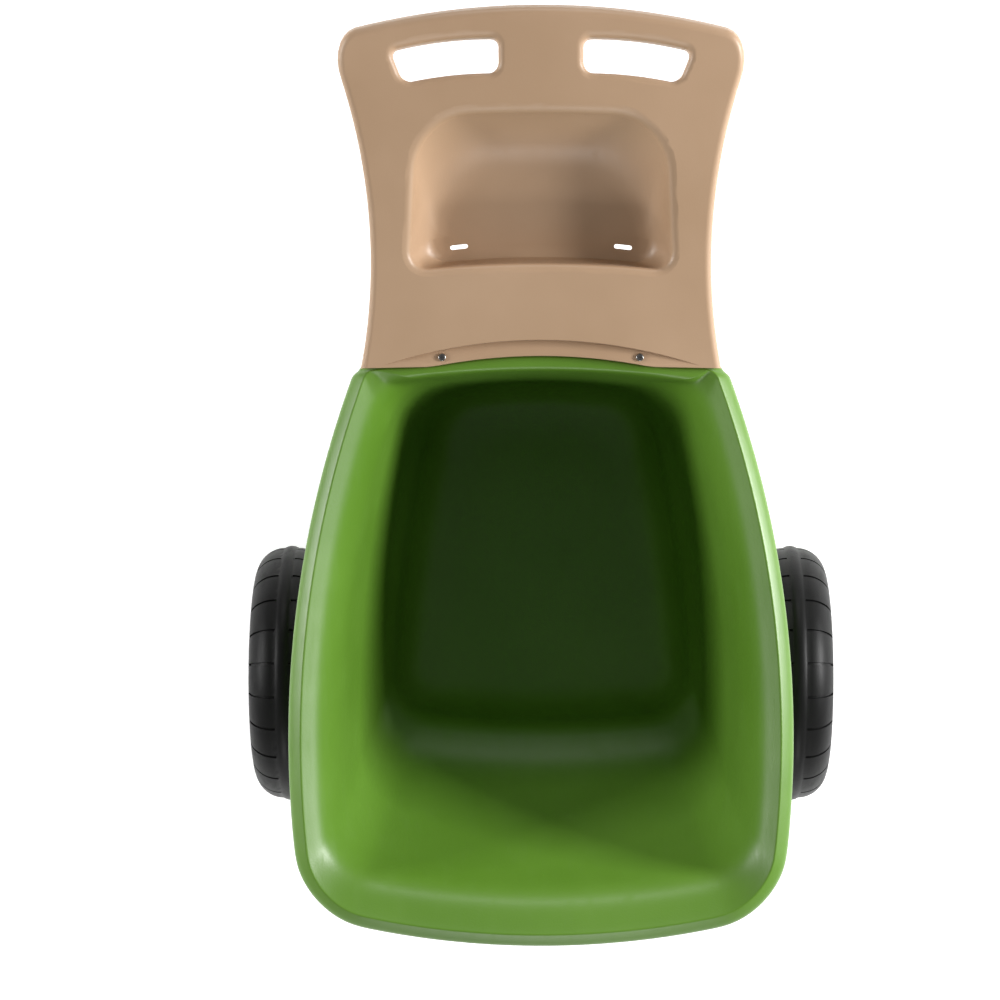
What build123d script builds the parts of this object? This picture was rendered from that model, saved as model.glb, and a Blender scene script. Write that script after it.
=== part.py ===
from build123d import *
import os
from math import cos, radians, sin, sqrt, tan

os.makedirs("parts", exist_ok=True)

# A two-wheeled poly yard cart: a scoop-shaped tub on one axle, a hollow handle panel with a tool
# tray, and a moulded rear stand. Millimetres; X across, Y from the pouring lip towards the handle,
# Z up from the ground; the origin is on the ground in the middle of the whole cart.

# Overall
front_y = -587.4
handle_end_y = 587.4
rim_z = 559.0
tub_half_width = 323.5
wheel_radius = 178.0
wheel_proud = 73.4
wheel_outer_x = tub_half_width + wheel_proud
axle_radius = 7.9
spacer_wall = 4.6
spacer_radius = axle_radius + spacer_wall

# Tub
tub_widest_y = -321.0
side_bow_radius = 1350.0
front_bow_radius = 1110.0
rim_corner_radius = 72.0
rim_rear_y = 166.0
rim_rear_bow = 18.0
rim_roll_width = 16.5
rim_roll_drop = 14.0
rim_skirt_height = 19.0
crest_width = 2.0
wall = 3.5
floor_thickness = 4.0
floor_below_spacer = 38.5
floor_rear_z = wheel_radius + spacer_radius - floor_below_spacer
floor_tilt = 6.1
floor_rear_y = 150.0
# The wall's levels: drop below the rim, then how far in at the sides, the front and the rear
lip_level = (18.0, 41.5, 43.4, 13.5)
ramp_level = (39.0, 51.5, 73.4, 14.5)
wall_level = (66.0, 63.5, 89.4, 15.0)
floor_edge = (103.5, 245.4, 15.0)
floor_edge_rise = 34.0
floor_base = (133.5, 275.4, 30.0)

# Handle panel
panel_slope = 22.6
panel_rise = 15.0
panel_joint_z = rim_z + panel_rise
panel_thickness = 28.0
panel_wall = 3.0
panel_edge_radius = 10.0
panel_waist_half = tub_half_width - 110.0
panel_waist_y = 297.0
panel_front_half = tub_half_width - 91.5
panel_front_y = 150.5
panel_corner_radius = 33.0
panel_end_half = tub_half_width - 61.5
panel_end_bow_radius = 1000.0
joint_arch_half = 140.0
joint_arch_rise = 14.0
joint_gap = 0.4
land_z = rim_z + 10.0
land_rise = 20.0
land_half = tub_half_width - 123.5
shelf_top_z = rim_z - 3.0
shelf_thickness = 4.0
shelf_half = tub_half_width - 113.5
shelf_rear_y = 200.0

# Hand holes and tool tray
hand_hole_inner_x = 52.0
hand_hole_outer_x = panel_end_half - 78.5
hand_hole_y = handle_end_y - 62.4
hand_hole_width = 40.0
hand_hole_corner = 10.0
hand_hole_tilt = 5.5
tray_half_top = panel_waist_half - 52.5
tray_half_bottom = panel_waist_half - 46.5
tray_front_y = rim_rear_y + 103.0
tray_rear_y = hand_hole_y - 64.0
tray_depth = 58.0
tray_draft = 26.0
tray_rear_corner = 70.0
tray_front_corner = 25.0
drain_x = tray_half_bottom - 63.0
drain_y = tray_front_y + 35.5
drain_length = 23.0
drain_width = 5.7

# Rear stand: its legs stand inside the joint screws' nuts
joint_screw_x = land_half - 74.5
joint_screw_y = rim_rear_y - 1.5
nut_radius = 5.2
nut_clearance = 4.3
leg_width = 54.0
leg_centre_x = joint_screw_x - nut_radius - nut_clearance - leg_width / 2
leg_wall = 3.5
leg_front_y = rim_rear_y - 5.5
leg_depth = 52.0
brace_rear_y = shelf_rear_y + 58.0
brace_screw_y = shelf_rear_y + 35.0
brace_depth = 10.0
brace_root_z = rim_z - 107.0
brace_foot_z = rim_z - 187.0
leg_splay = 9.0
leg_splay_z = 70.0
crossbar_levels = (96.0, rim_z - 59.0)
crossbar_height = 46.0
pad_levels = (floor_rear_z + 110.0, rim_z - 104.0)
pad_height = 56.0

# Wheels and axle
wheel_width = 95.0
wheel_y = -260.0
tread_shoulder = 38.0
tread_crown_drop = 3.0
wheel_wall = 4.0
wheel_dish_radius = 122.0
wheel_dish_depth = 18.0
tread_groove_count = 24
tread_groove_width = 3.6
tread_groove_depth = 2.5
tread_centre_half = 9.0
bushing_thickness = 4.1
hub_bore_radius = axle_radius + bushing_thickness
hub_radius = hub_bore_radius + 18.0
running_gap = 0.08
seat_gap = 0.05
bushing_flange = 2.0
bushing_length = 24.0
hub_end_inset = 23.0
side_play = 0.3
washer_thickness = 2.2
washer_radius = axle_radius + 9.1
push_nut_radius = axle_radius + 3.1
push_nut_length = 5.0
axle_stub = 2.6
cap_radius = hub_radius + 4.0
cap_wall = 2.0
clamp_x = tub_half_width - floor_base[0] - 25.0
clamp_width = 42.0
clamp_length = 92.0
clamp_drop = 14.0
clamp_screw_spacing = 62.0

# Fasteners
small_screw_radius = 2.4
small_head_radius = 4.9
small_head_height = 2.6
large_screw_radius = 3.0
large_head_radius = 6.2
large_head_height = 3.4
drive_width = 1.1
screw_clearance = 0.12

slope = radians(panel_slope)
tilt = radians(floor_tilt)
panel_plane = Plane(
    origin=(0, rim_rear_y, panel_joint_z),
    x_dir=(1, 0, 0),
    z_dir=(0, -sin(slope), cos(slope)),
)


def sag(radius, offset):
    """How far an arc of this radius has fallen away at this offset from its middle."""
    return radius - sqrt(radius**2 - offset**2)


def box_between(low, high):
    """A block from one corner to the opposite one."""
    size = [b - a for a, b in zip(low, high)]
    return Pos(*low) * Box(*size, align=(Align.MIN, Align.MIN, Align.MIN))


def basin_face(half, front, rear, side_radius=side_bow_radius, rear_bow=rim_rear_bow,
               front_corner=rim_corner_radius, rear_corner=10.0):
    """One level of the tub in plan: bowed sides, front and rear with rounded corners."""
    rear_corner_y = rear - rear_bow
    rear_x = half - sag(side_radius, rear_corner_y - tub_widest_y)
    front_x = half
    for _ in range(6):
        corner_y = front + sag(front_bow_radius, front_x)
        front_x = half - sag(side_radius, corner_y - tub_widest_y)
    middle_y = (rear_corner_y + corner_y) / 2
    middle_x = half - sag(side_radius, middle_y - tub_widest_y)
    outline = [
        ThreePointArc((-rear_x, rear_corner_y), (0, rear), (rear_x, rear_corner_y)),
        ThreePointArc((rear_x, rear_corner_y), (middle_x, middle_y), (front_x, corner_y)),
        ThreePointArc((front_x, corner_y), (0, front), (-front_x, corner_y)),
        ThreePointArc((-front_x, corner_y), (-middle_x, middle_y), (-rear_x, rear_corner_y)),
    ]
    face = make_face(outline)
    corners = face.vertices().sort_by(Axis.Y)
    face = fillet(corners[:2], front_corner)
    corners = face.vertices().sort_by(Axis.Y)[-2:]
    return fillet(corners, rear_corner)


def floor_plane(drop):
    """The sloping floor's plane, or one parallel to it and this much lower."""
    height = floor_rear_z + floor_rear_y * tan(tilt) - drop
    return Plane(origin=(0, 0, height), x_dir=(1, 0, 0), z_dir=(0, sin(tilt), cos(tilt)))


def basin_loft(grow, drop, top_z):
    """The tub's inside, or with growth and drop its outside, from the crest down to the floor."""
    crest = rim_roll_width + crest_width - grow
    levels = [(rim_z - drop, tub_half_width - crest, front_y + crest, rim_rear_y - 8 + grow, 18, 62, 10)]
    for level, shape in ((lip_level, (17, 54, 24)), (ramp_level, (16, 45, 36)), (wall_level, (16, 45, 42))):
        down, side, front, rear = level
        levels.append((rim_z - down - drop, tub_half_width - side + grow, front_y + front - grow,
                       rim_rear_y - rear + grow, *shape))
    faces = []
    if top_z > levels[0][0]:
        _, half, front, rear, bow, corner, back = levels[0]
        faces.append(Pos(0, 0, top_z) * basin_face(half, front, rear, side_bow_radius, bow, corner, back))
    for z, half, front, rear, bow, corner, back in levels:
        faces.append(Pos(0, 0, z) * basin_face(half, front, rear, side_bow_radius, bow, corner, back))
    for level, rise, shape in ((floor_edge, floor_edge_rise, (1600, 18, 55, 42)),
                               (floor_base, 0, (1800, 16, 40, 34))):
        side, front, rear = level
        low = basin_face(tub_half_width - side + grow, front_y + front - grow,
                         rim_rear_y - rear + grow, *shape)
        faces.append(floor_plane(drop - rise) * low)
    return loft(faces, ruled=True)


def joint_outline(gap, rear):
    """Plan of everything behind the joint line: flat at the sides, arched in the middle."""
    low_y = rim_rear_y - joint_arch_rise + gap
    side_y = panel_front_y - 3 + gap
    reach = tub_half_width - wall
    line = [
        Line((-reach, rear), (-reach, side_y)),
        Line((-reach, side_y), (-joint_arch_half, low_y)),
        ThreePointArc((-joint_arch_half, low_y), (0, rim_rear_y + gap), (joint_arch_half, low_y)),
        Line((joint_arch_half, low_y), (reach, side_y)),
        Line((reach, side_y), (reach, rear)),
        Line((reach, rear), (-reach, rear)),
    ]
    return make_face(line)


def along(y):
    """Distance up the panel's slope of a point given by its plan Y."""
    return (y - rim_rear_y) / cos(slope)


def make_screw(radius, length, head_radius, head_height):
    """A pan-head screw with a cross recess, head up, its seat at the origin."""
    head = Pos(0, 0, head_height / 2) * Cylinder(head_radius, head_height)
    head = fillet(head.edges().filter_by(GeomType.CIRCLE).sort_by(Axis.Z)[-1], head_height * 0.55)
    shank = Pos(0, 0, -length / 2) * Cylinder(radius, length)
    shank = chamfer(shank.edges().filter_by(GeomType.CIRCLE).sort_by(Axis.Z)[0], radius * 0.4)
    drive = Box(head_radius * 1.15, drive_width, head_height * 1.3)
    recess = Pos(0, 0, head_height) * (drive + Rot(0, 0, 90) * drive)
    return (head + shank) - recess


def tube(outer, inner, low_x, high_x):
    """A ring about the axle line between two places along X."""
    ring = Cylinder(outer, high_x - low_x)
    if inner > 0:
        ring = ring - Cylinder(inner, high_x - low_x + 2)
    return Pos((low_x + high_x) / 2, wheel_y, wheel_radius) * Rot(0, 90, 0) * ring


# --- Tub: one rotation-moulded skin, rolled rim, shelf for the panel, pads for stand and axle
inside = basin_loft(0, 0, rim_z + 12)
outside = basin_loft(wall, floor_thickness, 0)

skirt_low = rim_z - rim_roll_drop - rim_skirt_height
rim_outline = basin_face(tub_half_width, front_y, rim_rear_y)
crest_outline = basin_face(tub_half_width - rim_roll_width, front_y + rim_roll_width,
                           rim_rear_y - 1, front_corner=60)
rim_block = loft([
    Pos(0, 0, skirt_low) * rim_outline,
    Pos(0, 0, rim_z - rim_roll_drop) * rim_outline,
    Pos(0, 0, rim_z) * crest_outline,
], ruled=True)
void_outline = basin_face(tub_half_width - wall, front_y + wall, rim_rear_y - wall, front_corner=68)
void_crest = basin_face(tub_half_width - rim_roll_width - 1, front_y + rim_roll_width + 1,
                        rim_rear_y - wall, front_corner=56)
rim_void = loft([
    Pos(0, 0, skirt_low - 1) * void_outline,
    Pos(0, 0, rim_z - rim_roll_drop - 3) * void_outline,
    Pos(0, 0, rim_z - 6) * void_crest,
], ruled=True)
rear_void = box_between((-shelf_half - 10, 100, skirt_low - 2),
                        (shelf_half + 10, shelf_rear_y + 2, shelf_top_z - shelf_thickness))
shelf = box_between((-shelf_half, 120, shelf_top_z - shelf_thickness),
                    (shelf_half, shelf_rear_y, shelf_top_z))
shelf = fillet(shelf.edges().filter_by(Axis.Z).sort_by(Axis.Y)[-2:], 18)

tub = rim_block - (rim_void - outside) - (rear_void - outside) + outside + shelf
for side in (-1, 1):
    for level in pad_levels:
        pad = box_between((-leg_width / 2 + 6, 120, level - pad_height / 2),
                          (leg_width / 2 - 6, leg_front_y, level + pad_height / 2))
        tub = tub + Pos(side * leg_centre_x, 0, 0) * pad
    saddle = box_between((clamp_x - clamp_width / 2, wheel_y - clamp_length / 2, wheel_radius),
                         (clamp_x + clamp_width / 2, wheel_y + clamp_length / 2, wheel_radius + 60))
    tub = tub + (saddle if side > 0 else mirror(saddle, Plane.YZ))
tub = tub - inside
above_shelf = extrude(Pos(0, 0, shelf_top_z) * joint_outline(0, shelf_rear_y + 60), 60)
tub = tub - above_shelf
tub = tub - tube(axle_radius + seat_gap, 0, -clamp_x - 60, clamp_x + 60)

# The places of every fastener, used for its hole and for the fastener itself
joint_screw_places = [(side * joint_screw_x, joint_screw_y) for side in (-1, 1)]
stand_screw_places = [(side * leg_centre_x, level) for side in (-1, 1) for level in pad_levels]
brace_screw_places = [(side * leg_centre_x, brace_screw_y) for side in (-1, 1)]
clamp_screw_places = [(side * clamp_x, wheel_y + step * clamp_screw_spacing / 2)
                      for side in (-1, 1) for step in (-1, 1)]


def bore(radius, length):
    """A hole for a screw whose seat is at the origin, running down from just above it."""
    return Pos(0, 0, -length / 2) * Cylinder(radius + screw_clearance, length)


def stand_screw_seat(x, z):
    """Seat of a stand screw: on the inside of the leg's front wall, pointing forward."""
    return Pos(x, leg_front_y + leg_wall, z) * Rot(-90, 0, 0)


def clamp_screw_seat(x, y):
    """Seat of a clamp screw: under the clamp, pointing up."""
    return Pos(x, y, wheel_radius - clamp_drop) * Rot(180, 0, 0)


joint_screw_length = 26.0
stand_screw_length = 13.0
clamp_screw_length = clamp_drop + 9.0
for x, y in joint_screw_places:
    tub = tub - Pos(x, y, shelf_top_z + 5) * bore(small_screw_radius, 12)
for x, z in stand_screw_places:
    tub = tub - stand_screw_seat(x, z) * bore(large_screw_radius, stand_screw_length + 1)
for x, y in clamp_screw_places:
    tub = tub - clamp_screw_seat(x, y) * bore(large_screw_radius, clamp_screw_length + 1)
export_step(tub, "parts/tub.step")


# --- Handle panel: a hollow double-walled board, with hand holes and a tool tray
def panel_outline(inset):
    """The panel's outline along its own slope, or one this far inside it."""
    under_reach = (panel_thickness - panel_edge_radius) * sin(slope) + panel_edge_radius
    end_v = along(handle_end_y - under_reach) + panel_edge_radius
    corner_x = panel_end_half - inset
    corner_v = end_v - sag(panel_end_bow_radius, panel_end_half) - inset
    front_x = panel_front_half - inset
    waist_x = panel_waist_half - inset
    waist_v = along(panel_waist_y)
    front_v = along(panel_front_y) - 16 + inset
    end_v = end_v - inset
    line = [
        ThreePointArc((front_x, front_v), (waist_x, waist_v), (corner_x, corner_v)),
        ThreePointArc((corner_x, corner_v), (0, end_v), (-corner_x, corner_v)),
        ThreePointArc((-corner_x, corner_v), (-waist_x, waist_v), (-front_x, front_v)),
        Line((-front_x, front_v), (front_x, front_v)),
    ]
    face = make_face(line)
    return fillet(face.vertices().sort_by(Axis.Y)[-2:], panel_corner_radius - inset)


def sunk(depth):
    """The panel's surface moved straight down, this deep measured square to the slope."""
    return Pos(0, -depth * tan(slope), -depth)


def hand_hole(side, grow):
    """One hand hole: a tilted slot that follows the end of the panel."""
    length = hand_hole_outer_x - hand_hole_inner_x + 2 * grow
    width = hand_hole_width / cos(slope) + 2 * grow
    slot = RectangleRounded(length, width, hand_hole_corner + grow)
    middle = side * (hand_hole_inner_x + hand_hole_outer_x) / 2
    return Pos(middle, along(hand_hole_y)) * Rot(0, 0, -side * hand_hole_tilt) * slot


def tray_outline(grow, draft):
    """The tray's opening, or further down its sides, with large corners at the handle end."""
    half_low = tray_half_bottom - draft + grow
    half_high = tray_half_top - draft + grow
    low = along(tray_front_y) + draft - grow
    high = along(tray_rear_y) - draft + grow
    line = [
        ThreePointArc((-half_low, low), (0, low + 9), (half_low, low)),
        Line((half_low, low), (half_high, high - 8)),
        ThreePointArc((half_high, high - 8), (0, high), (-half_high, high - 8)),
        Line((-half_high, high - 8), (-half_low, low)),
    ]
    face = make_face(line)
    high_pair = face.vertices().sort_by(Axis.Y)[-2:]
    face = fillet(high_pair, tray_rear_corner - draft + grow)
    low_pair = face.vertices().sort_by(Axis.Y)[:2]
    return fillet(low_pair, tray_front_corner + grow * 0.5)


def tray_body(grow, top, depth):
    """The tray as a solid well: its inside, or grown by a wall its outside."""
    levels = [
        sunk(-top) * tray_outline(grow, 0),
        sunk(10) * tray_outline(grow, 4),
        sunk(depth) * tray_outline(grow, tray_draft),
    ]
    return loft(levels, ruled=True)


board = extrude(Pos(0, 0, -panel_thickness) * panel_outline(0), panel_thickness)
long_edges = board.edges().filter_by(lambda e: abs(e.center().Z) < 0.01)
board = fillet(long_edges, panel_edge_radius)
low_edges = board.edges().filter_by(lambda e: abs(e.center().Z + panel_thickness) < 0.01)
board = fillet(low_edges, panel_edge_radius)
well_outside = tray_body(panel_wall, 0, tray_depth + panel_wall)
core = extrude(Pos(0, 0, -panel_thickness + panel_wall) * panel_outline(panel_wall + 4),
               panel_thickness - 2 * panel_wall)
core = core - well_outside
well_inside = tray_body(0, 6, tray_depth)
panel = board + well_outside
for side in (-1, 1):
    around = hand_hole(side, panel_wall + 3)
    core = core - loft([sunk(-10) * around, sunk(60) * around], ruled=True)
    through = hand_hole(side, 0)
    panel = panel - loft([sunk(-10) * through, sunk(60) * through], ruled=True)
    lip = [sunk(8) * hand_hole(side, -1), sunk(-1) * hand_hole(side, 6)]
    panel = panel - loft(lip, ruled=True)
# Solid where the screws pass: the front strip and the two pads over the braces
core = core - box_between((-300, -60, -60), (300, along(shelf_rear_y + 2), 20))
for x, y in brace_screw_places:
    core = core - Pos(x, along(y), -20) * Cylinder(12, 60)
panel = panel - core - well_inside
for side in (-1, 1):
    drain = Pos(side * drain_x, along(drain_y)) * Rot(0, 0, -side * 6)
    slot = drain * SlotOverall(drain_length, drain_width / cos(slope))
    panel = panel - loft([sunk(tray_depth - 6) * slot, sunk(tray_depth + 12) * slot], ruled=True)
vent = Pos(0, along(hand_hole_y - 25), -panel_thickness) * Cylinder(3, 12)
panel = panel - vent
panel = panel_plane * panel
panel = panel & extrude(joint_outline(joint_gap, handle_end_y + 40), 900)
panel = panel - box_between((-300, 100, 400), (300, shelf_rear_y + 6, shelf_top_z))
land_arc = make_face([
    Line((-land_half, 100), (land_half, 100)),
    Line((land_half, 100), (land_half, panel_front_y + 6)),
    ThreePointArc((land_half, panel_front_y + 6), (0, rim_rear_y + land_rise), (-land_half, panel_front_y + 6)),
    Line((-land_half, panel_front_y + 6), (-land_half, 100)),
])
panel = panel - extrude(Pos(0, 0, land_z) * land_arc, 60)
for x, y in joint_screw_places:
    panel = panel - Pos(x, y, land_z) * bore(small_screw_radius, 30)


def brace_screw_seat(x, y):
    """Seat of a brace screw: under the brace's top wall, pointing up into the panel."""
    return panel_plane * Pos(x, along(y), -panel_thickness - leg_wall - 0.1) * Rot(180, 0, 0)


brace_screw_length = leg_wall + 16.0
for x, y in brace_screw_places:
    panel = panel - brace_screw_seat(x, y) * bore(small_screw_radius, brace_screw_length + 1)
export_step(panel, "parts/handle_panel.step")


# --- Rear stand: two open-backed legs with braces under the panel and two crossbars, one moulding
def under_panel(y):
    """Height of the panel's underside at this plan Y."""
    return panel_joint_z + (y - rim_rear_y) * tan(slope) - panel_thickness / cos(slope)


def leg_profile(front, top_drop, low, back):
    """Side view of a leg and its brace, in Y and Z."""
    shelf_under = shelf_top_z - shelf_thickness - seat_gap - top_drop
    step_y = shelf_rear_y + 1
    rear_y = brace_rear_y + back
    drop = top_drop / cos(slope) + 0.1
    points = [
        (front, low),
        (front, shelf_under),
        (step_y + top_drop, shelf_under),
        (step_y + 7 + top_drop, under_panel(step_y + 7 + top_drop) - drop),
        (rear_y, under_panel(rear_y) - drop),
        (rear_y, shelf_top_z - brace_depth),
        (leg_front_y + leg_depth + 10 + back, brace_root_z),
        (leg_front_y + leg_depth + back, brace_foot_z),
        (leg_front_y + leg_depth + back, leg_splay_z),
        (leg_front_y + leg_depth + leg_splay + back, low),
    ]
    return make_face(Polyline(points, close=True))


def bar_x(face, half, middle):
    """A YZ outline made into a solid between two places along X."""
    return Pos(middle - half, 0, 0) * extrude(Plane.YZ * face, 2 * half)


leg_outer = leg_profile(leg_front_y, 0, 0, 0)
leg_inner = leg_profile(leg_front_y + leg_wall, leg_wall, leg_wall, 30)
stand = None
for side in (-1, 1):
    leg = bar_x(leg_outer, leg_width / 2, side * leg_centre_x)
    upright = leg.edges().filter_by(Axis.Z).sort_by(Axis.Y)[:2]
    leg = fillet(upright, 6)
    leg = leg - bar_x(leg_inner, leg_width / 2 - leg_wall, side * leg_centre_x)
    stand = leg if stand is None else stand + leg
bar_half = leg_centre_x - leg_width / 2 + leg_wall / 2
for level in crossbar_levels:
    low, high = level - crossbar_height / 2, level + crossbar_height / 2
    bar = box_between((-bar_half, leg_front_y + 6, low), (bar_half, leg_front_y + leg_depth - 8, high))
    hollow = box_between((-bar_half, leg_front_y + 6 + leg_wall, low + leg_wall),
                         (bar_half, leg_front_y + leg_depth, high - leg_wall))
    stand = stand + (bar - hollow)
for x, z in stand_screw_places:
    stand = stand - Pos(0, 4, 0) * stand_screw_seat(x, z) * bore(large_screw_radius, 14)
for x, y in brace_screw_places:
    stand = stand - brace_screw_seat(x, y) * Pos(0, 0, 2) * bore(small_screw_radius, 14)
export_step(stand, "parts/rear_stand.step")


# --- Fasteners: identical screws are separate solids in one node
def group(name, pieces):
    export_step(Compound(children=pieces), "parts/" + name + ".step")


joint_screw = make_screw(small_screw_radius, joint_screw_length, small_head_radius, small_head_height)
group("panel_front_screws", [Pos(x, y, land_z) * joint_screw for x, y in joint_screw_places])
nut = extrude(RegularPolygon(nut_radius, 6), -4.5) - Cylinder(small_screw_radius + screw_clearance, 20)
nut_z = shelf_top_z - shelf_thickness
group("panel_front_nuts", [Pos(x, y, nut_z) * nut for x, y in joint_screw_places])
brace_screw = make_screw(small_screw_radius, brace_screw_length, small_head_radius, small_head_height)
group("panel_brace_screws", [brace_screw_seat(x, y) * brace_screw for x, y in brace_screw_places])
stand_screw = make_screw(large_screw_radius, stand_screw_length, large_head_radius, large_head_height)
group("stand_screws", [stand_screw_seat(x, z) * stand_screw for x, z in stand_screw_places])
clamp_screw = make_screw(large_screw_radius, clamp_screw_length, large_head_radius, large_head_height)
group("axle_clamp_screws", [clamp_screw_seat(x, y) * clamp_screw for x, y in clamp_screw_places])

# --- Axle and what is threaded on it, from the clamp outwards; the wheel's inner and outer faces
wheel_inner_x = wheel_outer_x - wheel_width
hub_outer_x = wheel_outer_x - hub_end_inset
outer_washer_x = hub_outer_x + side_play
push_nut_x = outer_washer_x + washer_thickness + 0.1
axle_end_x = push_nut_x + push_nut_length + axle_stub
inner_washer_x = wheel_inner_x - side_play - washer_thickness
clamp_outer_x = clamp_x + clamp_width / 2

axle = tube(axle_radius, 0, -axle_end_x, axle_end_x)
axle = chamfer(axle.edges().filter_by(GeomType.CIRCLE), 1.2)
export_step(axle, "parts/axle.step")

clamp = box_between((clamp_x - clamp_width / 2, wheel_y - clamp_length / 2, wheel_radius - clamp_drop),
                    (clamp_outer_x, wheel_y + clamp_length / 2, wheel_radius - seat_gap))
clamp = chamfer(clamp.edges().filter_by(Axis.X).sort_by(Axis.Z)[:2], 6)
clamp = clamp - tube(axle_radius + seat_gap, 0, 0, clamp_x + 60)
for x, y in clamp_screw_places[2:]:
    clamp = clamp - Pos(0, 0, -2) * clamp_screw_seat(x, y) * bore(large_screw_radius, 30)


def pair(name, piece):
    """The right-hand piece and its mirror image on the left."""
    export_step(piece, "parts/right_" + name + ".step")
    export_step(mirror(piece, Plane.YZ), "parts/left_" + name + ".step")


sleeve_bore = axle_radius + running_gap
pair("axle_clamp", clamp)
pair("spacer", tube(spacer_radius, sleeve_bore, clamp_outer_x + 0.2, inner_washer_x - 0.1))
pair("inner_washer", tube(washer_radius, sleeve_bore, inner_washer_x, inner_washer_x + washer_thickness))
pair("outer_washer", tube(washer_radius, sleeve_bore, outer_washer_x, outer_washer_x + washer_thickness))
push_nut = tube(push_nut_radius, axle_radius + seat_gap, push_nut_x, push_nut_x + push_nut_length)
push_nut = chamfer(push_nut.edges().filter_by(GeomType.CIRCLE).sort_by(Axis.X)[-1], 1.5)
pair("push_nut", push_nut)


# --- Wheels: one hollow blow moulding each, drawn as a profile of X across and Y as radius
def tread_points(inset):
    """Crown and shoulder of the tread, this far inside the outer surface."""
    half = wheel_width / 2
    crown_half = half - tread_shoulder
    shoulder_r = wheel_radius - tread_crown_drop
    reach = tread_shoulder - inset
    diagonal = reach * sin(radians(45))
    centre_r = shoulder_r - tread_shoulder
    return [
        ThreePointArc((half - inset, centre_r), (crown_half + diagonal, centre_r + diagonal),
                      (crown_half, shoulder_r - inset)),
        ThreePointArc((crown_half, shoulder_r - inset), (0, wheel_radius - inset),
                      (-crown_half, shoulder_r - inset)),
        ThreePointArc((-crown_half, shoulder_r - inset), (-crown_half - diagonal, centre_r + diagonal),
                      (-half + inset, centre_r)),
    ]


def wheel_face():
    """Section of the wheel's outside: dished both sides, hub tube in the middle."""
    half = wheel_width / 2
    centre_r = wheel_radius - tread_crown_drop - tread_shoulder
    hub_out = half - hub_end_inset - bushing_flange
    hub_in = -half + bushing_flange
    dish = half - wheel_dish_depth
    rest = Polyline([
        (-half, centre_r), (-half, wheel_dish_radius + 8), (-dish, wheel_dish_radius - 2),
        (-dish, hub_radius + 14), (hub_in, hub_radius), (hub_in, hub_bore_radius),
        (hub_out, hub_bore_radius), (hub_out, cap_radius + 1), (dish, cap_radius + 1),
        (dish, wheel_dish_radius - 2), (half, wheel_dish_radius + 8), (half, centre_r),
    ])
    return make_face(tread_points(0) + rest.edges())


def cavity_face():
    """Section of the hollow inside the wheel."""
    half = wheel_width / 2 - wheel_wall
    centre_r = wheel_radius - tread_crown_drop - tread_shoulder
    dish = wheel_width / 2 - wheel_dish_depth - wheel_wall
    over_hub = hub_radius + 12
    rest = Polyline([
        (-half, centre_r), (-half, wheel_dish_radius + 11), (-dish, wheel_dish_radius + 2),
        (-dish, over_hub + 8), (0, over_hub), (dish - 6, over_hub), (dish, over_hub + 8),
        (dish, wheel_dish_radius + 2), (half, wheel_dish_radius + 11), (half, centre_r),
    ])
    return make_face(tread_points(wheel_wall) + rest.edges())


def groove_tool():
    """One tread groove on the outer side, as deep as the groove depth everywhere."""
    core_outline = tread_points(tread_groove_depth)
    half = wheel_width / 2 - tread_groove_depth
    centre_r = wheel_radius - tread_crown_drop - tread_shoulder
    base = Polyline([(-half, centre_r), (-half, 60), (half, 60), (half, centre_r)])
    core_body = revolve(make_face(core_outline + base.edges()), Axis.X)
    low_r = 0.82 * wheel_radius
    block = box_between((tread_centre_half, -tread_groove_width / 2, low_r),
                        (wheel_width, tread_groove_width / 2, wheel_radius + 5))
    return block - core_body


wheel = revolve(wheel_face(), Axis.X) - revolve(cavity_face(), Axis.X)
rib_low = wheel_width / 2 - wheel_dish_depth - 1
for index in range(6):
    rib = box_between((rib_low, -7, cap_radius + 6), (rib_low + 8, 7, wheel_dish_radius + 4))
    wheel = wheel + Rot(index * 60, 0, 0) * rib
wheel = wheel - Pos(-wheel_width / 2 + wheel_dish_depth, 0, 80) * Rot(0, 90, 0) * Cylinder(2.5, 14)
groove = groove_tool()
grooves = []
for index in range(tread_groove_count):
    turned = Rot((index + 0.5) * 360 / tread_groove_count, 0, 0) * groove
    grooves += [turned, mirror(turned, Plane.YZ)]
wheel = wheel - grooves
wheel = Pos(wheel_outer_x - wheel_width / 2, wheel_y, wheel_radius) * wheel
pair("wheel", wheel)


def bushing(face_x, direction):
    """A flanged sleeve in the hub bore, its flange outside the hub's end."""
    inward = face_x - direction * (bushing_flange + bushing_length)
    sleeve = tube(hub_bore_radius - seat_gap, sleeve_bore, *sorted((face_x, inward)))
    flange = tube(hub_bore_radius + 5, sleeve_bore, *sorted((face_x, face_x - direction * bushing_flange)))
    return sleeve + flange


pair("inner_bushing", bushing(wheel_inner_x, -1))
pair("outer_bushing", bushing(hub_outer_x, 1))

# --- Hub caps: a plug in the hub's well with a domed face over the axle end
cap_base_x = hub_outer_x - bushing_flange + 0.3
cap_face_x = wheel_outer_x - wheel_dish_depth + 0.3
cap = tube(cap_radius, 0, cap_base_x, cap_face_x)
cap = cap + tube(cap_radius + 5, 0, cap_face_x, cap_face_x + 3)
dome = tube(cap_radius - 4, 0, cap_face_x, cap_face_x + 13)
dome = fillet(dome.edges().filter_by(GeomType.CIRCLE).sort_by(Axis.X)[-1], 8)
cap = cap + dome
cap = cap - tube(cap_radius - cap_wall - 6, 0, cap_base_x - 1, cap_face_x + 11)
pair("hub_cap", cap)
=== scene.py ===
import bmesh
import bpy
from math import atan2, cos, pi, radians, sin, sqrt, tan
from mathutils import Matrix, Vector


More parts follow.
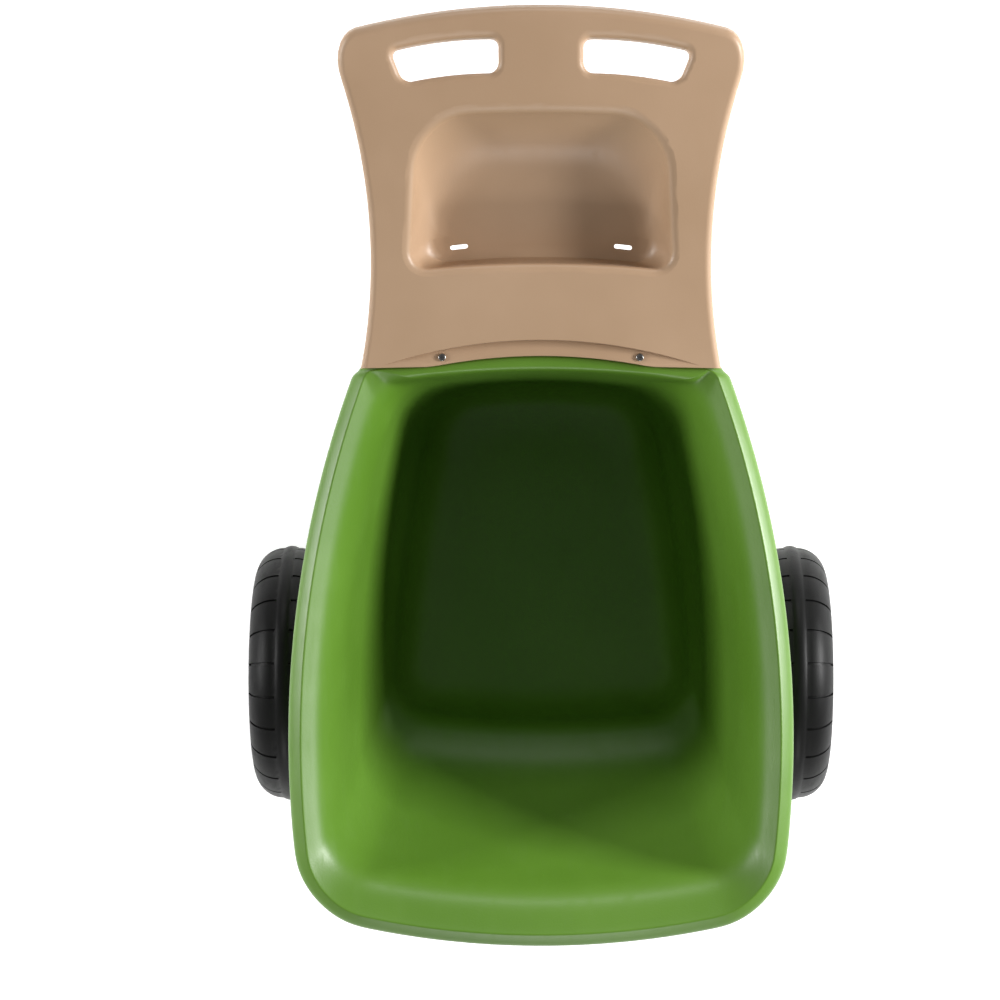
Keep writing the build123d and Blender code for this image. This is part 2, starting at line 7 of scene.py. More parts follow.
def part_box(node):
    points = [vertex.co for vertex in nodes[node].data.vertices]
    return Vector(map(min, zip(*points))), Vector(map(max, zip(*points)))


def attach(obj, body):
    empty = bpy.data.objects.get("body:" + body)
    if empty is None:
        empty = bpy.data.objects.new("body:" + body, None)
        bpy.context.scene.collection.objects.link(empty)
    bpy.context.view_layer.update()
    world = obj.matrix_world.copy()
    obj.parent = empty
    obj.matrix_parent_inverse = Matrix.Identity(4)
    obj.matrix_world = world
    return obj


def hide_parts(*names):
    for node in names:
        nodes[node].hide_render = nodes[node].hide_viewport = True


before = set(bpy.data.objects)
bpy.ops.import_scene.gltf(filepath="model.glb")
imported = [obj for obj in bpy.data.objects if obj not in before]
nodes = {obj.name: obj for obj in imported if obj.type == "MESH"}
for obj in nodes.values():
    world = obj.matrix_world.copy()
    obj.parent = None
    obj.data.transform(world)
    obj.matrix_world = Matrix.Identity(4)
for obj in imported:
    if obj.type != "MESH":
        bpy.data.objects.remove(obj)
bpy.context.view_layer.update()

# ---------------------------------------------------------------------------------------------
# Tub. One rotation-moulded polyethylene skin about 3.4 mm thick, with a rolled rim that ends in an
# open skirt. The front is a pouring lip over a ramp, and the rear edge drops to a shelf for the panel.
# ---------------------------------------------------------------------------------------------
tub_low, tub_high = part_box("tub")
rim_z = tub_high[2]
tub_half = tub_high[0]
lip_y = tub_low[1]
shelf_rear_y = tub_high[1]
shelf_z = rim_z - 0.003
widest_y = lip_y + 0.2664
side_bow = 1.35
lip_bow = 1.11
tub_wall = 0.0034
floor_rear_z = 0.152
floor_hinge_y = 0.150
floor_tilt = radians(6.1)
joint_arch_y = 0.166
joint_side_y = 0.152
joint_arch_half = 0.14
joint_side_fall = 0.02


def sag(radius, offset):
    """How far an arc of this radius has fallen away at this offset from its middle."""
    return radius - sqrt(radius**2 - offset**2)


def joint_line(x):
    """Y of the line where the tub's rear edge meets the panel: arched in the middle."""
    reach = abs(x)
    if reach < joint_arch_half:
        return joint_arch_y - (joint_arch_y - joint_side_y) * (reach / joint_arch_half) ** 2
    return joint_side_y - joint_side_fall * (reach - joint_arch_half)


def rounded_corner(start, corner, end, count, pull=0.56):
    """Points of a rounded corner between two edges, without its two end points."""
    points = []
    for step in range(1, count):
        t = step / count
        a = start.lerp(start.lerp(corner, pull), t)
        b = start.lerp(corner, pull).lerp(end.lerp(corner, pull), t)
        c = end.lerp(corner, pull).lerp(end, t)
        points.append(a.lerp(b, t).lerp(b.lerp(c, t), t))
    return points


def basin_outline(half, front, rear, rear_bow, front_corner, rear_corner, bow=side_bow):
    """A closed level of the tub in plan, from the middle of the rear round the right side."""
    rear_corner_y = rear - rear_bow
    rear_x = half - sag(bow, rear_corner_y - widest_y)
    front_x = half
    for _ in range(6):
        corner_y = front + sag(lip_bow, front_x)
        front_x = half - sag(bow, corner_y - widest_y)

    def on_side(y):
        return Vector((half - sag(bow, y - widest_y), y))

    def on_rear(x):
        return Vector((x, rear - rear_bow * (x / rear_x) ** 2))

    def on_front(x):
        return Vector((x, front + sag(lip_bow, x)))

    right = [on_rear((rear_x - rear_corner) * step / 10) for step in range(11)]
    start = on_side(rear_corner_y - rear_corner)
    right += rounded_corner(right[-1], Vector((rear_x, rear_corner_y)), start, 5)
    end_y = corner_y + front_corner
    right += [on_side(start.y + (end_y - start.y) * step / 18) for step in range(19)]
    tip = on_front(front_x - front_corner)
    right += rounded_corner(right[-1], Vector((front_x, corner_y)), tip, 7)
    right += [on_front((front_x - front_corner) * (1 - step / 10)) for step in range(11)]
    left = [Vector((-p.x, p.y)) for p in right[-2:0:-1]]
    return right + left


def floor_z(y):
    """Height of the sloping floor."""
    return floor_rear_z + (floor_hinge_y - y) * tan(floor_tilt)


def clear_selection():
    """Leaves nothing selected and no mode but object mode."""
    if bpy.context.object and bpy.context.object.mode != "OBJECT":
        bpy.ops.object.mode_set(mode="OBJECT")
    bpy.ops.object.select_all(action="DESELECT")


def start_ring(name, points):
    """A new piece that starts as a circle, with its vertices put on the first outline."""
    clear_selection()
    bpy.ops.mesh.primitive_circle_add(vertices=len(points), radius=1, fill_type="NOTHING")
    piece = bpy.context.object
    piece.name = name
    for vertex, point in zip(piece.data.vertices, points):
        vertex.co = point
    bpy.ops.object.mode_set(mode="EDIT")
    bpy.ops.mesh.select_mode(type="EDGE")
    bpy.ops.mesh.select_all(action="SELECT")
    return piece


def extrude_ring(piece, old, new):
    """Extrudes the selected ring and puts each new vertex on the next outline."""
    bpy.ops.mesh.extrude_region_move()
    mesh = bmesh.from_edit_mesh(piece.data)
    places = {tuple(round(c, 6) for c in point): index for index, point in enumerate(old)}
    for vertex in mesh.verts:
        if vertex.select:
            vertex.co = new[places[tuple(round(c, 6) for c in vertex.co)]]
    bmesh.update_edit_mesh(piece.data)


def add_modifier(piece, kind, **settings):
    """Adds a modifier with these settings and applies it."""
    modifier = piece.modifiers.new(kind.title(), kind)
    for key, value in settings.items():
        setattr(modifier, key, value)
    clear_selection()
    bpy.context.view_layer.objects.active = piece
    piece.select_set(True)
    bpy.ops.object.modifier_apply(modifier=modifier.name)


def face_up(piece, from_place):
    """Turns an open skin's faces so that they look towards this place."""
    bpy.ops.object.mode_set(mode="EDIT")
    bpy.ops.mesh.select_all(action="SELECT")
    bpy.ops.mesh.normals_make_consistent(inside=False)
    mesh = bmesh.from_edit_mesh(piece.data)
    towards = Vector(from_place)
    nearest = min(mesh.faces, key=lambda f: (f.calc_center_median() - towards).length)
    if nearest.normal.dot(towards - nearest.calc_center_median()) < 0:
        bpy.ops.mesh.flip_normals()
    bpy.ops.object.mode_set(mode="OBJECT")


# Level by level from the skirt's lower edge over the crest and down to the shoulder. Each level:
# inset from the side, inset from the lip, Y of the rear, rear bow, front corner, rear corner and
# height below the rim
levels = [
    (0.0010, 0.0010, 0.166, 0.018, 0.072, 0.010, 0.0330),
    (0.0000, 0.0000, 0.166, 0.018, 0.072, 0.010, 0.0300),
    (0.0000, 0.0000, 0.166, 0.018, 0.072, 0.010, 0.0170),
    (0.0030, 0.0030, 0.166, 0.018, 0.070, 0.010, 0.0105),
    (0.0140, 0.0140, 0.166, 0.018, 0.064, 0.010, 0.0022),
    (0.0168, 0.0168, 0.166, 0.018, 0.062, 0.010, 0.0004),
    (0.0180, 0.0180, 0.165, 0.018, 0.061, 0.010, 0.0004),
    (0.0215, 0.0220, 0.164, 0.018, 0.060, 0.012, 0.0030),
    (0.0330, 0.0380, 0.1515, 0.017, 0.056, 0.020, 0.0110),
    (0.0420, 0.0560, 0.1478, 0.017, 0.052, 0.026, 0.0200),
    (0.0500, 0.0700, 0.1466, 0.017, 0.046, 0.034, 0.0350),
    (0.0560, 0.0790, 0.1462, 0.016, 0.044, 0.038, 0.0510),
    (0.0635, 0.0910, 0.1460, 0.016, 0.045, 0.040, 0.0750),
]


def tub_level(index):
    """The 3-D points of one upper level, with its rear stretch laid on the joint and the shelf."""
    inset, front, rear, bow, front_corner, rear_corner, drop = levels[index]
    flat = basin_outline(tub_half - inset, lip_y + front, rear, bow, front_corner, rear_corner)
    points = [Vector((p.x, p.y, rim_z - drop)) for p in flat]
    rear_count = 11
    rear_reach = 0.205
    for place, point in enumerate(points):
        behind = place < rear_count or place > len(points) - rear_count
        if not behind:
            continue
        line = joint_line(point.x)
        squeeze = min(1, rear_reach / max(abs(point.x), 0.001))
        if index <= 3:
            depth = [shelf_rear_y, shelf_rear_y, shelf_rear_y - 0.004, line + 0.012][index]
            height = [shelf_z - 0.0030, shelf_z - 0.0012, shelf_z, shelf_z][index]
            point.x, point.y, point.z = point.x * squeeze, depth, height
        elif index == 4:
            point.x, point.y, point.z = point.x * squeeze, line + 0.0005, shelf_z
        elif index in (5, 6, 7):
            back = [0.0, 0.0010, 0.0065][index - 5]
            point.y, point.z = line - 0.0006 - back, rim_z - [0.0007, 0.0002, 0.0003][index - 5]
        elif index == 8:
            point.z = rim_z - 0.0018
        elif index == 9:
            point.z = rim_z - 0.0080
    return points


floor_half = 0.206
floor_front_y = -0.325
floor_rear_y = 0.146
floor_side_bow = 1.8
floor_front_corner = 0.050
floor_rear_corner = 0.046
floor_middle_y = -0.085
wall_rear_bow = 0.017


def wall_level(share):
    """A level of the walls between the shoulder (share 0) and the floor's edge (share 1)."""
    top_inset, top_front, top_rear, _, top_corner, _, drop = levels[-1]
    half = (tub_half - top_inset) * (1 - share) + floor_half * share
    front = (lip_y + top_front) * (1 - share) + floor_front_y * share
    rear = top_rear * (1 - share) + floor_rear_y * share
    bow = side_bow * (1 - share) + floor_side_bow * share
    corner = top_corner * (1 - share) + floor_front_corner * share
    flat = basin_outline(half, front, rear, wall_rear_bow, corner, 0.040 + 0.006 * share, bow)
    top_z = rim_z - drop
    return [Vector((p.x, p.y, top_z * (1 - share) + floor_z(p.y) * share)) for p in flat]


def floor_level(inset, lift):
    """A ring on the floor, or just above it where the walls turn into it."""
    flat = basin_outline(floor_half - inset, floor_front_y + inset, floor_rear_y - inset,
                         wall_rear_bow, floor_front_corner, floor_rear_corner, floor_side_bow)
    return [Vector((p.x, p.y, floor_z(p.y) + lift)) for p in flat]


rings = [tub_level(index) for index in range(len(levels))]
rings += [wall_level(share) for share in (0.14, 0.32, 0.50, 0.68)]
rings += [floor_level(0.000, 0.072), floor_level(0.005, 0.043), floor_level(0.019, 0.019)]
rings += [floor_level(0.041, 0.005), floor_level(0.068, 0.0)]


def shrunk(points, share):
    """The same ring drawn in towards the middle of the floor and laid on its slope."""
    flat = [(p.x * share, floor_middle_y + (p.y - floor_middle_y) * share) for p in points]
    return [Vector((x, y, floor_z(y))) for x, y in flat]


rings += [shrunk(rings[-1], share) for share in (0.75, 0.5, 0.25, 0.06)]
tub = start_ring("tub_skin", rings[0])
for before, after in zip(rings, rings[1:]):
    extrude_ring(tub, before, after)
bpy.ops.mesh.edge_face_add()
face_up(tub, (0, -0.1, 0.5))
add_modifier(tub, "SOLIDIFY", thickness=tub_wall, offset=-1, use_even_offset=True)
add_modifier(tub, "SUBSURF", levels=2, render_levels=2)

# Moulded-on pads for the stand's screws and saddles for the axle, part of the same skin
axle_y = (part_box("axle")[0][1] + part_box("axle")[1][1]) / 2
axle_z = (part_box("axle")[0][2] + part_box("axle")[1][2]) / 2
leg_front_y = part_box("rear_stand")[0][1]


def block(name, low, high, round_by, segments=4):
    """A rounded block between two corners: a cube scaled to its size, with its edges bevelled."""
    clear_selection()
    centre = [(a + b) / 2 for a, b in zip(low, high)]
    bpy.ops.mesh.primitive_cube_add(size=1, location=centre)
    piece = bpy.context.object
    piece.name = name
    piece.scale = [b - a for a, b in zip(low, high)]
    bpy.ops.object.transform_apply(location=True, rotation=True, scale=True)
    bpy.ops.object.mode_set(mode="EDIT")
    bpy.ops.mesh.select_all(action="SELECT")
    bpy.ops.mesh.bevel(offset=round_by, segments=segments, affect="EDGES")
    bpy.ops.object.mode_set(mode="OBJECT")
    return piece


def join_pieces(first, others):
    """Makes several meshes one object, named as the first."""
    clear_selection()
    for piece in others:
        piece.select_set(True)
    first.select_set(True)
    bpy.context.view_layer.objects.active = first
    bpy.ops.object.join()
    return first


def cut(piece, cutter, operation="DIFFERENCE"):
    """Cuts a closed shape away, or adds it, and removes the cutter."""
    add_modifier(piece, "BOOLEAN", object=cutter, operation=operation, solver="EXACT")
    bpy.data.objects.remove(cutter, do_unlink=True)


leg_x = (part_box("stand_screws")[1][0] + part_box("panel_brace_screws")[1][0]) / 2 - 0.0008
clamp_low, clamp_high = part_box("right_axle_clamp")
pad_half_width = 0.021
pad_half_height = 0.028
pad_rear_y = leg_front_y - 0.0002
saddle_height = 0.028
saddle_bore = 0.0080
extras = []
for side in (-1, 1):
    for level in (0.262, 0.455):
        low = (side * leg_x - pad_half_width, 0.1465, level - pad_half_height)
        high = (side * leg_x + pad_half_width, pad_rear_y, level + pad_half_height)
        extras.append(block("pad", low, high, 0.003))
    ends = sorted((side * clamp_low[0], side * clamp_high[0]))
    low = (ends[0], clamp_low[1], axle_z)
    saddle = block("saddle", low, (ends[1], clamp_high[1], axle_z + saddle_height), 0.002)
    bpy.ops.mesh.primitive_cylinder_add(vertices=48, radius=saddle_bore, depth=0.2,
                                        location=(ends[0], axle_y, axle_z), rotation=(0, pi / 2, 0))
    cut(saddle, bpy.context.object)
    for vertex in saddle.data.vertices:
        if vertex.co.z > axle_z + 0.02:
            vertex.co.z += floor_z(vertex.co.y) - 0.0012 - (axle_z + saddle_height)
    extras.append(saddle)
tub = join_pieces(tub, extras)


def smooth(piece, angle=35):
    """Shades a piece smooth, except over edges sharper than this angle."""
    clear_selection()
    piece.select_set(True)
    bpy.context.view_layer.objects.active = piece
    bpy.ops.object.shade_smooth_by_angle(angle=radians(angle))


smooth(tub, 40)


def add_node(tree, kind, **inputs):
    """A node with these input values; an input that is a socket is linked instead."""
    node = tree.nodes.new("ShaderNode" + kind)
    for key, value in inputs.items():
        socket = node.inputs[key.replace("_", " ")]
        if isinstance(value, bpy.types.NodeSocket):
            tree.links.new(value, socket)
        else:
            socket.default_value = value
    return node


def new_finish(name):
    """A new node material, with its tree, its shader and the place on the piece."""
    material = bpy.data.materials.new(name)
    material.use_nodes = True
    tree = material.node_tree
    return material, tree, tree.nodes["Principled BSDF"], add_node(tree, "TexCoord").outputs["Object"]


def colour_ramp(tree, amount, dark, light, start=0.0, end=1.0):
    """A blend from a dark to a light colour as the amount goes from start to end."""
    ramp = add_node(tree, "ValToRGB", Fac=amount)
    for stop, position, colour in zip(ramp.color_ramp.elements, (start, end), (dark, light)):
        stop.position = position
        stop.color = (*colour, 1)
    return ramp.outputs["Color"]


def moulded_poly(name, dark, light, roughness, grain, scuff):
    """Moulded polyethylene: a soft colour drift, fine orange-peel grain and faint handling scuffs."""
    material, tree, shader, place = new_finish(name)
    drift = add_node(tree, "TexNoise", Vector=place, Scale=5.0, Detail=3.0, Roughness=0.5)
    base = colour_ramp(tree, drift.outputs["Fac"], dark, light, 0.35, 0.68)
    specks = add_node(tree, "TexNoise", Vector=place, Scale=900.0, Detail=1.0)
    speck_amount = add_node(tree, "MapRange", Value=specks.outputs["Fac"],
                            From_Min=0.62, From_Max=0.80, To_Max=0.25)
    speckled = add_node(tree, "MixRGB", Color1=base, Color2=(*light, 1), Fac=speck_amount.outputs["Result"])
    tree.links.new(speckled.outputs["Color"], shader.inputs["Base Color"])

    stretched = add_node(tree, "Mapping", Vector=place, Scale=(34, 5, 12), Rotation=(0.3, 0.2, 0.6))
    rubs = add_node(tree, "TexNoise", Vector=stretched.outputs["Vector"],
                    Scale=3.0, Detail=8.0, Roughness=0.7)
    rub_range = add_node(tree, "MapRange", Value=rubs.outputs["Fac"], From_Min=0.50, From_Max=0.75,
                         To_Min=roughness, To_Max=roughness + scuff)
    tree.links.new(rub_range.outputs["Result"], shader.inputs["Roughness"])

    peel = add_node(tree, "TexNoise", Vector=place, Scale=420.0, Detail=2.0, Roughness=0.6)
    waves = add_node(tree, "TexNoise", Vector=place, Scale=16.0, Detail=1.0)
    fine = add_node(tree, "Bump", Strength=grain, Distance=0.0004, Height=peel.outputs["Fac"])
    broad = add_node(tree, "Bump", Strength=0.10, Distance=0.004, Height=waves.outputs["Fac"],
                     Normal=fine.outputs["Normal"])
    tree.links.new(broad.outputs["Normal"], shader.inputs["Normal"])
    shader.inputs["Specular IOR Level"].default_value = 0.45
    return material


green_poly = moulded_poly("green_polyethylene", (0.090, 0.202, 0.017), (0.110, 0.235, 0.025),
                          0.38, 0.25, 0.12)
tub.data.materials.clear()
tub.data.materials.append(green_poly)
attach(tub, "cart")
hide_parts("tub")

# ---------------------------------------------------------------------------------------------
# Handle panel. A double-walled polyethylene board, 28 mm thick, with soft edges of about 10 mm. Two
# hand holes go through it, the tool tray is a well in it, and its front seats on the tub's shelf.
# ---------------------------------------------------------------------------------------------
panel_slope = radians(22.6)
joint_top_z = 0.574
board_depth = 0.028 / cos(panel_slope)
end_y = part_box("handle_panel")[1][1] - 0.0092
end_bow = 1.0
front_half = 0.2355
land_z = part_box("panel_front_screws")[1][2] - 0.0026


def slope_z(y):
    """Height of the panel's top surface."""
    return joint_top_z + (y - joint_arch_y) * tan(panel_slope)


def arc_between(start, middle, end, count):
    """Points of the arc through three points, with both ends."""
    ax, ay, bx, by, cx, cy = *start, *middle, *end
    d = 2 * (ax * (by - cy) + bx * (cy - ay) + cx * (ay - by))
    ux = ((ax**2 + ay**2) * (by - cy) + (bx**2 + by**2) * (cy - ay) + (cx**2 + cy**2) * (ay - by)) / d
    uy = ((ax**2 + ay**2) * (cx - bx) + (bx**2 + by**2) * (ax - cx) + (cx**2 + cy**2) * (bx - ax)) / d
    radius = sqrt((ax - ux) ** 2 + (ay - uy) ** 2)
    first = atan2(ay - uy, ax - ux)
    sweep = (atan2(cy - uy, cx - ux) - first + pi) % (2 * pi) - pi
    turns = [first + sweep * step / (count - 1) for step in range(count)]
    return [Vector((ux + radius * cos(turn), uy + radius * sin(turn))) for turn in turns]


def mirrored_loop(right):
    """Closes a right-hand half outline, from the middle of one end to the middle of the other."""
    return right + [Vector((-p.x, p.y)) for p in right[-2:0:-1]]


def board_outline():
    """Plan of the panel from the middle of the joint round the right side to the middle of the end."""
    front = [Vector((front_half * step / 8, 0.125)) for step in range(9)]
    corner = end_y - sag(end_bow, 0.262)
    side = arc_between((front_half, 0.125), (0.2135, 0.297), (0.2615, corner), 34)[1:]
    end_steps = [0.226 * (1 - step / 12) for step in range(13)]
    end = [Vector((x, end_y - sag(end_bow, x))) for x in end_steps]
    rounded = rounded_corner(side[-5], side[-1], end[0], 7)
    return mirrored_loop(front + side[:-4] + rounded + end)


outline = board_outline()
top = [Vector((p.x, p.y, slope_z(p.y))) for p in outline]


def under(point):
    """The same point on the panel's underside, whose end leans out by the slope."""
    lean = 0.0105 * min(1, max(0, (point.y - 0.18) / 0.36))
    y = point.y + lean
    return Vector((point.x, y, slope_z(y) - board_depth - lean * 0.05))


board = start_ring("handle_board", top)
bpy.ops.mesh.edge_face_add()
bpy.ops.mesh.extrude_region_move()
mesh = bmesh.from_edit_mesh(board.data)
for vertex in mesh.verts:
    if vertex.select:
        vertex.co = under(vertex.co)
bmesh.update_edit_mesh(board.data)
bpy.ops.object.mode_set(mode="OBJECT")


def bevel_edges(piece, chosen, offset, segments=5):
    """Bevels the edges that the test chooses from their two ends and their faces."""
    clear_selection()
    bpy.context.view_layer.objects.active = piece
    piece.select_set(True)
    bpy.ops.object.mode_set(mode="EDIT")
    bpy.ops.mesh.select_mode(type="EDGE")
    bpy.ops.mesh.select_all(action="DESELECT")
    mesh = bmesh.from_edit_mesh(piece.data)
    for edge in mesh.edges:
        if len(edge.link_faces) == 2 and chosen(edge):
            edge.select_set(True)
    bmesh.update_edit_mesh(piece.data)
    bpy.ops.mesh.bevel(offset=offset, segments=segments, profile=0.5, affect="EDGES", clamp_overlap=True)
    bpy.ops.object.mode_set(mode="OBJECT")


def recalculate(piece):
    """Merges doubles and turns every face outwards."""
    clear_selection()
    bpy.context.view_layer.objects.active = piece
    piece.select_set(True)
    bpy.ops.object.mode_set(mode="EDIT")
    bpy.ops.mesh.select_all(action="SELECT")
    bpy.ops.mesh.remove_doubles(threshold=0.00002)
    bpy.ops.mesh.normals_make_consistent(inside=False)
    bpy.ops.object.mode_set(mode="OBJECT")


recalculate(board)


def on_board_rim(edge):
    """An edge of the board's top or underside."""
    level = abs(edge.verts[0].co.z - edge.verts[1].co.z) < 0.02
    return level and edge.calc_face_angle(0) > 0.6


bevel_edges(board, on_board_rim, 0.0095, 6)


def closed_stack(name, stack):
    """A closed solid from rings, capped at both ends."""
    piece = start_ring(name, stack[0])
    bpy.ops.mesh.edge_face_add()
    for before, after in zip(stack, stack[1:]):
        extrude_ring(piece, before, after)
    bpy.ops.object.mode_set(mode="OBJECT")
    recalculate(piece)
    return piece


def tray_ring(inset_x, inset_front, inset_rear, depth, rear_corner, front_corner):
    """One level of the tray, laid parallel to the slope at this depth straight down."""
    half_front, half_rear = 0.1615 - inset_x, 0.1555 - inset_x
    front, rear = 0.2725 + inset_front, 0.4575 - inset_rear
    front_bow, rear_bow = 0.0085, 0.006
    low_steps = [(half_front - front_corner) * step / 8 for step in range(9)]
    low = [Vector((x, front + front_bow * (1 - (x / half_front) ** 2))) for x in low_steps]
    high_steps = [(half_rear - rear_corner) * (1 - step / 6) for step in range(7)]
    high = [Vector((x, rear - rear_bow * (x / half_rear) ** 2)) for x in high_steps]
    side_start = Vector((half_front, front + front_corner))
    side_end = Vector((half_rear, rear - rear_bow - rear_corner))
    side = [side_start.lerp(side_end, step / 5) for step in range(6)]
    right = low + rounded_corner(low[-1], Vector((half_front, front)), side[0], 6) + side
    right += rounded_corner(side[-1], Vector((half_rear, rear - rear_bow)), high[0], 9) + high
    return [Vector((p.x, p.y, slope_z(p.y) - depth)) for p in mirrored_loop(right)]


# A lip's section as shares of its radius: how far out from the opening, and how deep
lip_section = [(2.2, -0.30), (1.0, 0.0), (0.60, 0.10), (0.28, 0.32), (0.07, 0.66), (0.0, 1.10)]
tray_depth = 0.0615
tray_lip = 0.0125
tray_flare = [tray_ring(-out * tray_lip, -out * tray_lip, -out * tray_lip, deep * tray_lip,
                        0.066 + out * tray_lip, 0.022 + out * tray_lip) for out, deep in lip_section]
well_inside = closed_stack("well_inside", tray_flare + [
    tray_ring(0.005, 0.003, 0.014, 0.0330, 0.072, 0.026),
    tray_ring(0.012, 0.007, 0.028, 0.0490, 0.076, 0.027),
    tray_ring(0.019, 0.011, 0.042, 0.0575, 0.078, 0.026),
    tray_ring(0.027, 0.017, 0.056, 0.0608, 0.074, 0.024),
    tray_ring(0.040, 0.026, 0.072, tray_depth, 0.062, 0.018),
])
well_outside = closed_stack("well_outside", [
    tray_ring(-0.002, -0.002, 0.000, 0.0100, 0.072, 0.026),
    tray_ring(-0.002, -0.002, 0.006, 0.0260, 0.072, 0.026),
    tray_ring(0.004, 0.002, 0.018, 0.0440, 0.072, 0.026),
    tray_ring(0.014, 0.008, 0.036, 0.0590, 0.072, 0.024),
    tray_ring(0.026, 0.015, 0.055, tray_depth + 0.003, 0.066, 0.022),
])


def hand_hole_outline(side):
    """The outline of one hand hole: its ends lean and its long edges follow the panel's end."""
    corners = [Vector(c) for c in ((0.052, 0.5065), (0.169, 0.4945), (0.184, 0.5320), (0.052, 0.5465))]
    bulge = [(0, 1, 0.0022), (1, 2, 0.0), (2, 3, 0.0030), (3, 0, 0.0)]
    reach = 0.011
    points = []
    for start, end, rise in bulge:
        a, b = corners[start], corners[end]
        along_edge = (b - a).normalized()
        count = 12 if rise else 4
        run_start, run_end = a + along_edge * reach, b - along_edge * reach
        for step in range(count + 1):
            t = step / count
            point = run_start.lerp(run_end, t)
            point.y += rise * 4 * t * (1 - t)
            points.append(point)
        after = (corners[(end + 1) % 4] - b).normalized()
        points += rounded_corner(points[-1], b, b + after * reach, 5)
    return [Vector((side * p.x, p.y)) for p in points]


def grown(ring, amount):
    """A closed flat outline moved outwards by this much, square to itself."""
    area = sum(a.x * b.y - b.x * a.y for a, b in zip(ring, ring[1:] + ring[:1]))
    moved = []
    for before, here, after in zip(ring[-1:] + ring, ring, ring[1:] + ring[:1]):
        forward = (after - before).normalized()
        moved.append(here + Vector((forward.y, -forward.x)) * amount * (1 if area > 0 else -1))
    return moved


cut(board, well_outside, "UNION")
cut(board, well_inside)
hole_lip = 0.0092
for side in (-1, 1):
    hole_outline = hand_hole_outline(side)
    upper = []
    lower = []
    for out, deep in lip_section:
        opening = grown(hole_outline, out * hole_lip)
        drop = deep * hole_lip
        upper.append([Vector((p.x, p.y, slope_z(p.y) - drop)) for p in opening])
        lower.append([Vector((p.x, p.y, slope_z(p.y) - board_depth - 0.0004 + drop)) for p in opening])
    cut(board, closed_stack("hole", upper + lower[::-1]))


def upright_cut(name, loop, low_z, high_z):
    """Cuts a flat outline away from the board, straight up from one height to another."""
    cut(board, closed_stack(name, [[Vector((p.x, p.y, z)) for p in loop] for z in (low_z, high_z)]))


drain_x = 0.104
drain_y = 0.3045
drain_half_length = 0.0086
drain_round = 0.0028
drain_lean = -6
for side in (-1, 1):
    turns = [radians(30 * step - 90) for step in range(7)]
    slot_end = [Vector((drain_half_length + drain_round * cos(t), drain_round * sin(t))) for t in turns]
    slot = slot_end + [Vector((-p.x, -p.y)) for p in slot_end]
    lean = Matrix.Rotation(radians(drain_lean * side), 2)
    upright_cut("drain", [lean @ p + Vector((side * drain_x, drain_y)) for p in slot], 0.50, 0.60)

# The front: a lowered crescent land for the two screws, and the step that sits on the shelf
above_board = 0.64
land_half = 0.23
land_steps = [land_half * step / 12 for step in range(13)]
land_rear = [Vector((x, 0.1862 - 0.0315 * (x / 0.200) ** 2)) for x in land_steps]
land_front = [Vector((x, 0.12)) for x in (land_half, 0.10, 0.0)]
upright_cut("land", mirrored_loop(land_rear + land_front), land_z, above_board)
joint_half = 0.29
joint_steps = [joint_half * step / 24 for step in range(25)]
joint_rear = [Vector((x, joint_line(x) + 0.0006)) for x in joint_steps]
joint_front = [Vector((x, 0.09)) for x in (joint_half, 0.15, 0.0)]
upright_cut("joint", mirrored_loop(joint_rear + joint_front), 0.50, above_board)
step_low = (-0.30, 0.10, 0.50)
cut(board, block("step", step_low, (0.30, shelf_rear_y + 0.006, shelf_z + 0.0003), 0.0004, 1))
screws_low, screws_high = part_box("panel_front_screws")
screw_head_radius = 0.0049
screw_bore = 0.0026
for side in (-1, 1):
    screw_x = side * (screws_high[0] - screw_head_radius)
    screw_y = (screws_low[1] + screws_high[1]) / 2
    clear_selection()
    bpy.ops.mesh.primitive_cylinder_add(vertices=32, radius=screw_bore, depth=0.2,
                                        location=(screw_x, screw_y, 0.56))
    cut(board, bpy.context.object)


def weighted(piece, angle=38):
    """Smooth shading that keeps flat faces flat."""
    smooth(piece, angle)
    add_modifier(piece, "WEIGHTED_NORMAL", keep_sharp=True, weight=60)


weighted(board)
tan_poly = moulded_poly("tan_polyethylene", (0.40, 0.262, 0.160), (0.45, 0.300, 0.190), 0.42, 0.22, 0.12)
board.data.materials.clear()
board.data.materials.append(tan_poly)
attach(board, "cart")
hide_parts("handle_panel")

# ---------------------------------------------------------------------------------------------
# Rear stand. Two open-backed legs with braces under the panel and two crossbars, one black poly
# moulding. Its shape is the frame's own, with the moulding's small outside radii put on.
# ---------------------------------------------------------------------------------------------
def softened_copy(name, node, radius, segments=2, angle=32):
    """The node's own shape as a new piece: triangles merged to faces, sharp edges rounded."""
    clear_selection()
    piece = nodes[node].copy()
    piece.data = nodes[node].data.copy()
    piece.name = name
    for key in list(piece.keys()):
        del piece[key]
    piece.parent = None
    bpy.context.collection.objects.link(piece)
    bpy.context.view_layer.objects.active = piece
    piece.select_set(True)
    bpy.ops.object.mode_set(mode="EDIT")
    bpy.ops.mesh.select_mode(type="VERT")
    bpy.ops.mesh.select_all(action="SELECT")
    bpy.ops.mesh.remove_doubles(threshold=0.00002)
    bpy.ops.mesh.dissolve_limited(angle_limit=radians(1.5))
    bpy.ops.mesh.normals_make_consistent(inside=False)
    bpy.ops.object.mode_set(mode="OBJECT")
    add_modifier(piece, "BEVEL", width=radius, segments=segments, limit_method="ANGLE",
                 angle_limit=radians(angle), use_clamp_overlap=True)
    weighted(piece, angle)
    return piece


def finish_piece(piece, material, body, slot, *replaced):
    """Gives a new piece its material, the body it rides on and the nodes it stands for; the slot argument
    is not used.
    """
    piece.data.materials.clear()
    piece.data.materials.append(material)
    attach(piece, body)
    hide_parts(*replaced)


